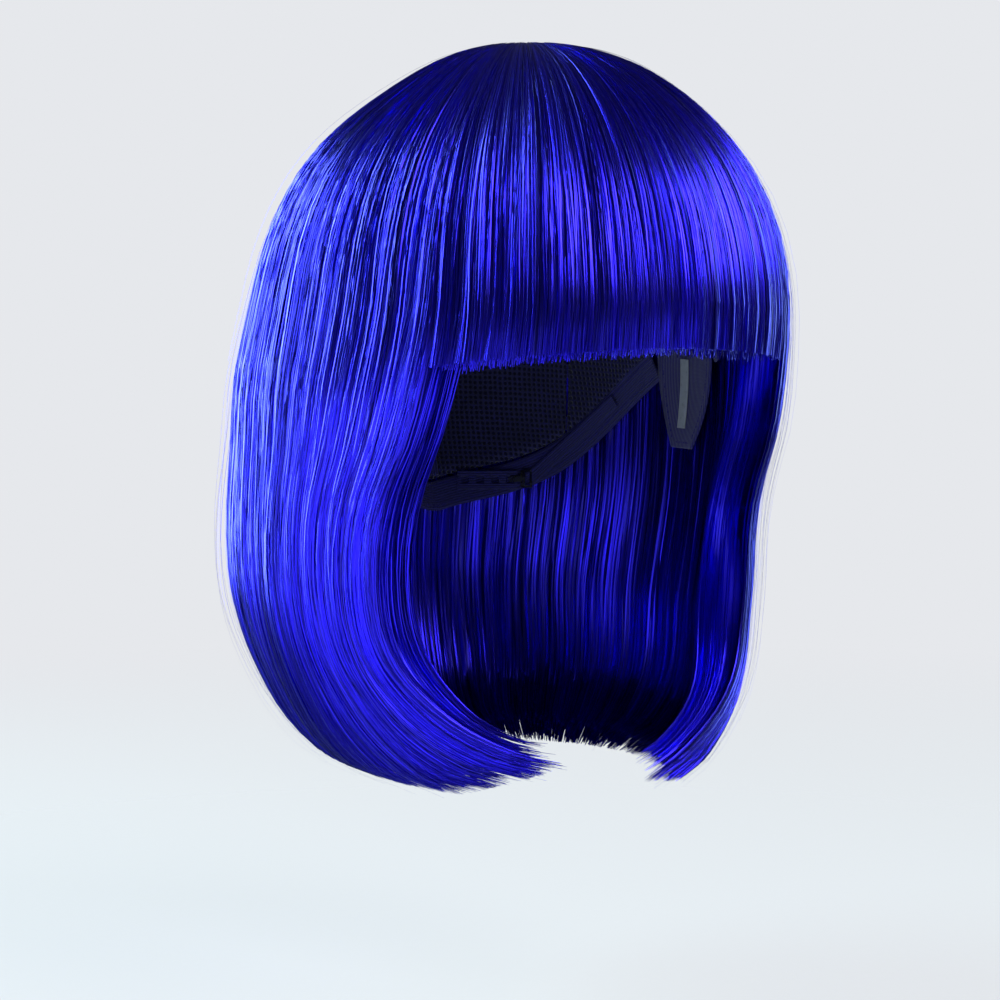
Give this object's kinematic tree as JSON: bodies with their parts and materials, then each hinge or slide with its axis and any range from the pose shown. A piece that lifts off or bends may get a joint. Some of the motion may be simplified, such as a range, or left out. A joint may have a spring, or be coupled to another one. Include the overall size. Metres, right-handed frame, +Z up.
{
  "type": "costume wig",
  "caption": "Straight bob wig with a full blunt fringe, wefted in overlapping layers onto a net cap with bendable ear tabs and hook-adjusted nape straps.",
  "frame": {"origin": "inside top of the crown net, where it sits on the head", "axes": "+Z up, face opening towards -Y, the wearer's left towards +X"},
  "size_m": [0.2213, 0.2576, 0.288],
  "materials": {
    "blue_fibre": "glossy royal-blue synthetic hair fibre",
    "cap_net": "dark blue stretch net",
    "elastic_tape": "dark blue woven elastic",
    "crown_base": "pale matte base cloth",
    "weft_thread": "sewn blue weft header",
    "stay_plastic": "translucent nylon strip",
    "hook_steel": "stamped nickel-plated steel"
  },
  "bodies": {
    "cap": {"net_crown": "cap_net", "net_front": "cap_net", "net_left": "cap_net", "net_back": "cap_net", "net_right": "cap_net", "front_band": "elastic_tape", "nape_band": "elastic_tape", "center_rib": "elastic_tape", "side_rib_left": "elastic_tape", "side_rib_right": "elastic_tape", "hook_ladder_left": "elastic_tape", "hook_ladder_right": "elastic_tape", "adjust_strap_left": "elastic_tape", "adjust_strap_right": "elastic_tape", "crown_patch": "crown_base", "crown_track": "weft_thread", "fringe_track_1": "weft_thread", "fringe_track_2": "weft_thread", "side_track_left_1": "weft_thread", "side_track_left_2": "weft_thread", "side_track_right_1": "weft_thread", "side_track_right_2": "weft_thread", "back_track_1": "weft_thread", "back_track_2": "weft_thread", "back_track_3": "weft_thread", "back_track_4": "weft_thread", "back_track_5": "weft_thread", "crown_closure": "blue_fibre", "crown_hair_front": "blue_fibre", "crown_hair_left": "blue_fibre", "crown_hair_right": "blue_fibre", "back_hair_left": "blue_fibre", "back_hair_center": "blue_fibre", "back_hair_right": "blue_fibre", "under_hair_left": "blue_fibre", "under_hair_center": "blue_fibre", "under_hair_right": "blue_fibre", "nape_hair_left": "blue_fibre", "nape_hair_center": "blue_fibre", "nape_hair_right": "blue_fibre"},
    "fringe": {"fringe_outer": "blue_fibre", "fringe_inner": "blue_fibre"},
    "side_lock_left": {"side_lock_outer_left": "blue_fibre", "side_lock_inner_left": "blue_fibre"},
    "side_lock_right": {"side_lock_outer_right": "blue_fibre", "side_lock_inner_right": "blue_fibre"},
    "ear_tab_left": {"ear_tab_left": "elastic_tape", "ear_stay_left": "stay_plastic"},
    "ear_tab_right": {"ear_tab_right": "elastic_tape", "ear_stay_right": "stay_plastic"},
    "strap_hook_left": {"strap_hook_left": "hook_steel"},
    "strap_hook_right": {"strap_hook_right": "hook_steel"}
  },
  "joints": [
    {"name": "fringe_lift", "type": "hinge", "parent": "cap", "child": "fringe", "pos_m": [0, -0.1106, -0.06029], "axis": [-1, 0, 0], "range_deg": [0, 60], "stiffness_Nm_per_rad": 0.03, "springref_deg": -57.3},
    {"name": "side_lock_left_lift", "type": "hinge", "parent": "cap", "child": "side_lock_left", "pos_m": [0.08508, -0.0552, -0.06166], "axis": [-0.5, -0.866, 0], "range_deg": [0, 40], "stiffness_Nm_per_rad": 0.06, "springref_deg": -57.3},
    {"name": "side_lock_right_lift", "type": "hinge", "parent": "cap", "child": "side_lock_right", "pos_m": [-0.08913, -0.0552, -0.06166], "axis": [-0.5, 0.866, 0], "range_deg": [0, 40], "stiffness_Nm_per_rad": 0.06, "springref_deg": -57.3},
    {"name": "ear_tab_left_bend", "type": "hinge", "parent": "cap", "child": "ear_tab_left", "pos_m": [0.07796, 0.00512, -0.10032], "axis": [0, 1, 0], "range_deg": [-4, 20]},
    {"name": "ear_tab_right_bend", "type": "hinge", "parent": "cap", "child": "ear_tab_right", "pos_m": [-0.07796, 0.00512, -0.10032], "axis": [0, -1, 0], "range_deg": [-4, 20]},
    {"name": "strap_left_adjust", "type": "slide", "parent": "cap", "child": "strap_hook_left", "axis": [-0.9126, 0.4089, 0], "range_m": [0, 0.0192], "deforming": ["adjust_strap_left"]},
    {"name": "strap_right_adjust", "type": "slide", "parent": "cap", "child": "strap_hook_right", "axis": [0.9126, 0.4089, 0], "range_m": [0, 0.0192], "deforming": ["adjust_strap_right"]}
  ]
}
